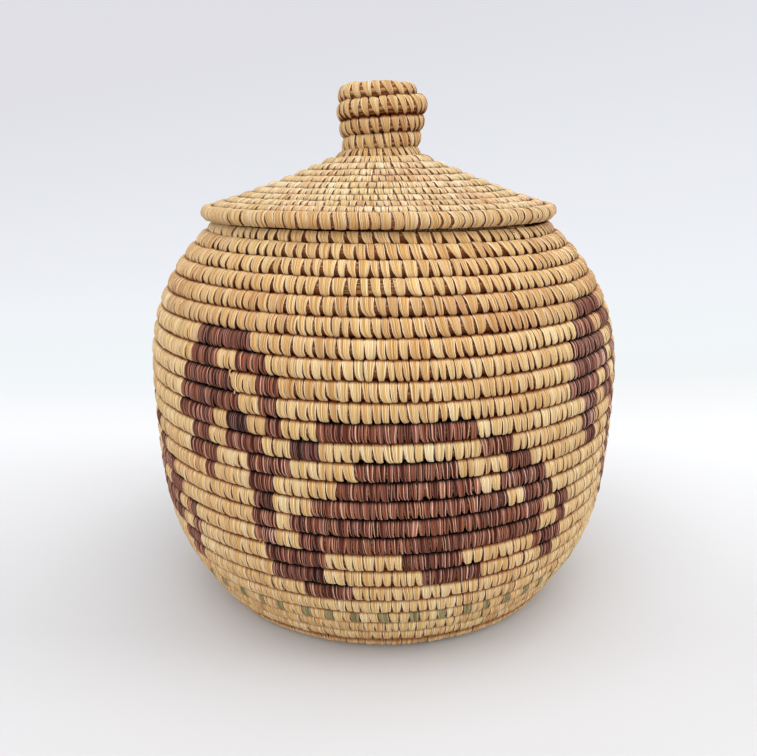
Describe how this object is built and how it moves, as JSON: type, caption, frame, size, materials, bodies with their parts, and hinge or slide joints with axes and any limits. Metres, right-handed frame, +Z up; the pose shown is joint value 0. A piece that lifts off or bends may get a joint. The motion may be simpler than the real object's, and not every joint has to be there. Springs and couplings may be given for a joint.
{
  "type": "lidded coiled grass basket",
  "caption": "Round coiled basket of sewn grass with a dyed stepped pattern, and a shallow conical lid with a hollow coiled knob that lifts off.",
  "frame": {"origin": "middle of the underside of the base, on the surface the basket stands on", "axes": "+Z up along the basket's axis; -Y towards the side in the picture"},
  "size_m": [0.1786, 0.1786, 0.1905],
  "materials": {
    "wall_grass": "split beach grass, sewn tight, dull sheen",
    "lid_grass": "split beach grass, sewn tight, dull sheen",
    "plain_grass": "split beach grass, matt",
    "dyed_grass": "beach grass dyed plum, dull sheen",
    "green_grass": "beach grass dyed grey green, dull sheen"
  },
  "bodies": {
    "basket": {"base_start_knot": "plain_grass", "base_row_01": "plain_grass", "base_row_02": "plain_grass", "base_row_03": "plain_grass", "base_row_04": "plain_grass", "base_row_05": "plain_grass", "base_row_06": "plain_grass", "base_row_07": "plain_grass", "base_row_08": "plain_grass", "base_row_09": "plain_grass", "wall_row_01": "wall_grass", "wall_row_02": "wall_grass", "wall_row_03": "wall_grass", "wall_row_04": "wall_grass", "wall_row_05": "wall_grass", "wall_row_06": "wall_grass", "wall_row_07": "wall_grass", "wall_row_08": "wall_grass", "wall_row_09": "wall_grass", "wall_row_10": "wall_grass", "wall_row_11": "wall_grass", "wall_row_12": "wall_grass", "wall_row_13": "wall_grass", "wall_row_14": "wall_grass", "wall_row_15": "wall_grass", "wall_row_16": "wall_grass", "wall_row_17": "wall_grass", "wall_row_18": "wall_grass", "wall_row_19": "wall_grass", "wall_row_20": "wall_grass", "wall_row_21": "wall_grass", "wall_row_22": "wall_grass", "wall_row_23": "wall_grass", "wall_row_24": "wall_grass", "rim_row": "wall_grass"},
    "lid": {"knob_start_knot": "lid_grass", "knob_row_01": "lid_grass", "knob_row_02": "lid_grass", "knob_row_03": "lid_grass", "knob_row_04": "lid_grass", "knob_row_05": "lid_grass", "lid_row_01": "lid_grass", "lid_row_02": "lid_grass", "lid_row_03": "lid_grass", "lid_row_04": "lid_grass", "lid_row_05": "lid_grass", "lid_row_06": "lid_grass", "lid_row_07": "lid_grass", "lid_row_08": "lid_grass", "lid_row_09": "lid_grass", "lid_edge_row": "lid_grass", "lid_flange_row_01": "plain_grass", "lid_flange_row_02": "plain_grass"}
  },
  "joints": [
    {"name": "lid_lift", "type": "slide", "parent": "basket", "child": "lid", "axis": [0, 0, 1], "range_m": [0, 0.15]}
  ]
}
